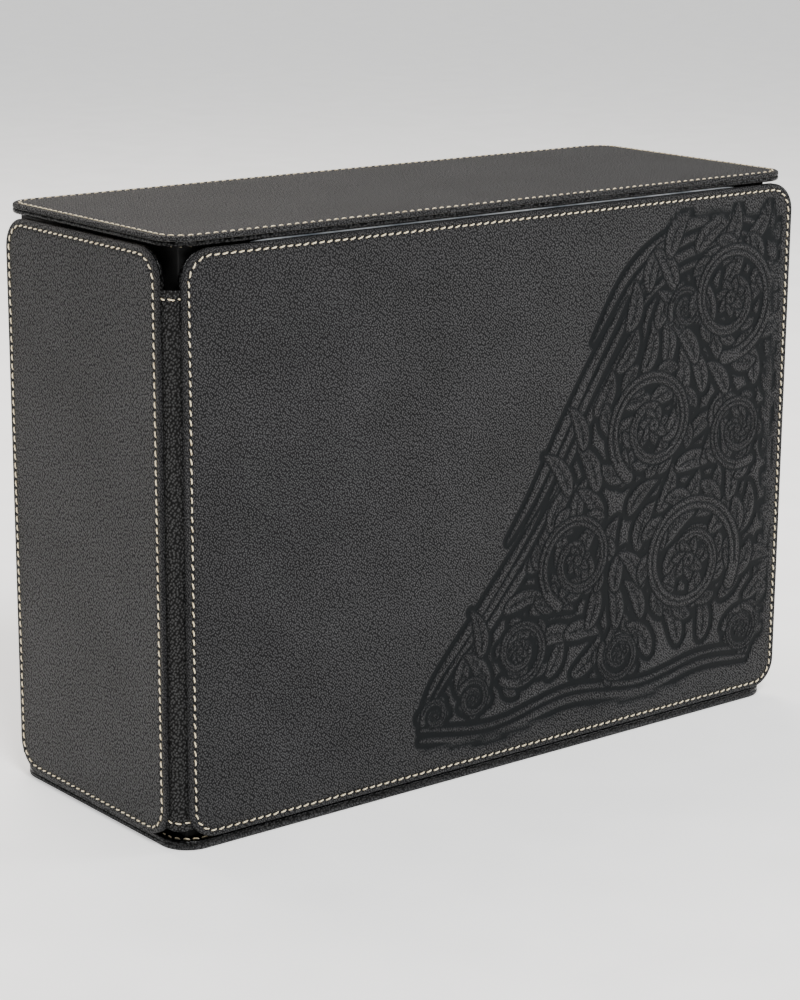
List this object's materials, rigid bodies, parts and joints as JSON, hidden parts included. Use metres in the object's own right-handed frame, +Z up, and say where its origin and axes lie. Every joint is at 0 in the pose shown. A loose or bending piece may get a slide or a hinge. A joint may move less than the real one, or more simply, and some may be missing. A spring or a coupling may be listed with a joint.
{
  "type": "card storage box",
  "caption": "Upright leatherette card storage box with a lift-off lid, hinged front and spine covers, a lined inner box and stacked lift-out trays with bays for sleeved card decks.",
  "frame": {"origin": "on the base panel's underside, under the middle of the inner box", "axes": "+X from the hinged spine panel towards the finger lips, -Y out of the front cover, +Z up"},
  "size_m": [0.3094, 0.1154, 0.226],
  "materials": {
    "leatherette": "pebble grained, satin",
    "hinge_leatherette": "fine grained, satin",
    "grey_board": "raw pressed board",
    "cream_thread": "twisted polyester thread",
    "black_wrap": "smooth, matt",
    "black_felt": "short nap",
    "tray_board": "fine textured paper over board",
    "magnet": "nickel plated",
    "clear_vinyl": "clear soft vinyl"
  },
  "bodies": {
    "case": {"base_outer_skin": "leatherette", "base_inner_skin": "leatherette", "base_outer_board": "grey_board", "base_inner_board": "grey_board", "base_stitching": "cream_thread", "back_cover_outer_skin": "leatherette", "back_cover_inner_skin": "leatherette", "back_cover_outer_board": "grey_board", "back_cover_inner_board": "grey_board", "back_cover_stitching": "cream_thread", "box_front_board": "grey_board", "box_back_board": "grey_board", "box_left_board": "grey_board", "box_right_board": "grey_board", "box_floor_board": "grey_board", "box_wrap": "black_wrap", "box_lining": "black_felt", "box_rim_magnets": "magnet", "box_front_magnets": "magnet", "back_hinge_strip": "hinge_leatherette"},
    "spine": {"spine_outer_skin": "leatherette", "spine_inner_skin": "leatherette", "spine_outer_board": "grey_board", "spine_inner_board": "grey_board", "spine_stitching": "cream_thread", "front_hinge_strip": "hinge_leatherette"},
    "front_cover": {"front_cover_outer_skin": "leatherette", "front_cover_inner_skin": "leatherette", "front_cover_outer_board": "grey_board", "front_cover_inner_board": "grey_board", "front_cover_stitching": "cream_thread", "front_cover_magnets": "magnet", "front_clear_pocket": "clear_vinyl"},
    "lid": {"lid_outer_skin": "leatherette", "lid_inner_skin": "leatherette", "lid_outer_board": "grey_board", "lid_inner_board": "grey_board", "lid_stitching": "cream_thread", "lid_pad_cover": "black_felt", "lid_pad_board": "grey_board", "lid_magnets": "magnet"},
    "lower_tray": {"lower_tray_shell": "tray_board", "lower_tray_felt": "black_felt", "lower_tray_dividers": "tray_board"},
    "middle_tray": {"middle_tray_shell": "tray_board", "middle_tray_felt": "black_felt", "middle_tray_dividers": "tray_board"},
    "top_tray": {"top_tray_shell": "tray_board", "top_tray_felt": "black_felt", "top_tray_dividers": "tray_board"}
  },
  "joints": [
    {"name": "spine_hinge", "type": "hinge", "parent": "case", "child": "spine", "pos_m": [-0.1505, 0.055, 0.1], "axis": [0, 0, -1], "range_deg": [0, 180], "deforming": ["back_hinge_strip"]},
    {"name": "front_cover_hinge", "type": "hinge", "parent": "spine", "child": "front_cover", "pos_m": [-0.1505, -0.055, 0.1], "axis": [0, 0, -1], "range_deg": [0, 180], "deforming": ["front_hinge_strip"]},
    {"name": "lid_lift", "type": "slide", "parent": "case", "child": "lid", "axis": [0, 0, 1], "range_m": [0, 0.36]},
    {"name": "top_tray_lift", "type": "slide", "parent": "case", "child": "top_tray", "axis": [0, 0, 1], "range_m": [0, 0.27]},
    {"name": "middle_tray_lift", "type": "slide", "parent": "case", "child": "middle_tray", "axis": [0, 0, 1], "range_m": [0, 0.18]},
    {"name": "lower_tray_lift", "type": "slide", "parent": "case", "child": "lower_tray", "axis": [0, 0, 1], "range_m": [0, 0.09]}
  ],
  "couplings": [
    {"joint": "top_tray_lift", "follows": "lid_lift", "ratio": 0.75},
    {"joint": "middle_tray_lift", "follows": "lid_lift", "ratio": 0.5},
    {"joint": "lower_tray_lift", "follows": "lid_lift", "ratio": 0.25}
  ]
}
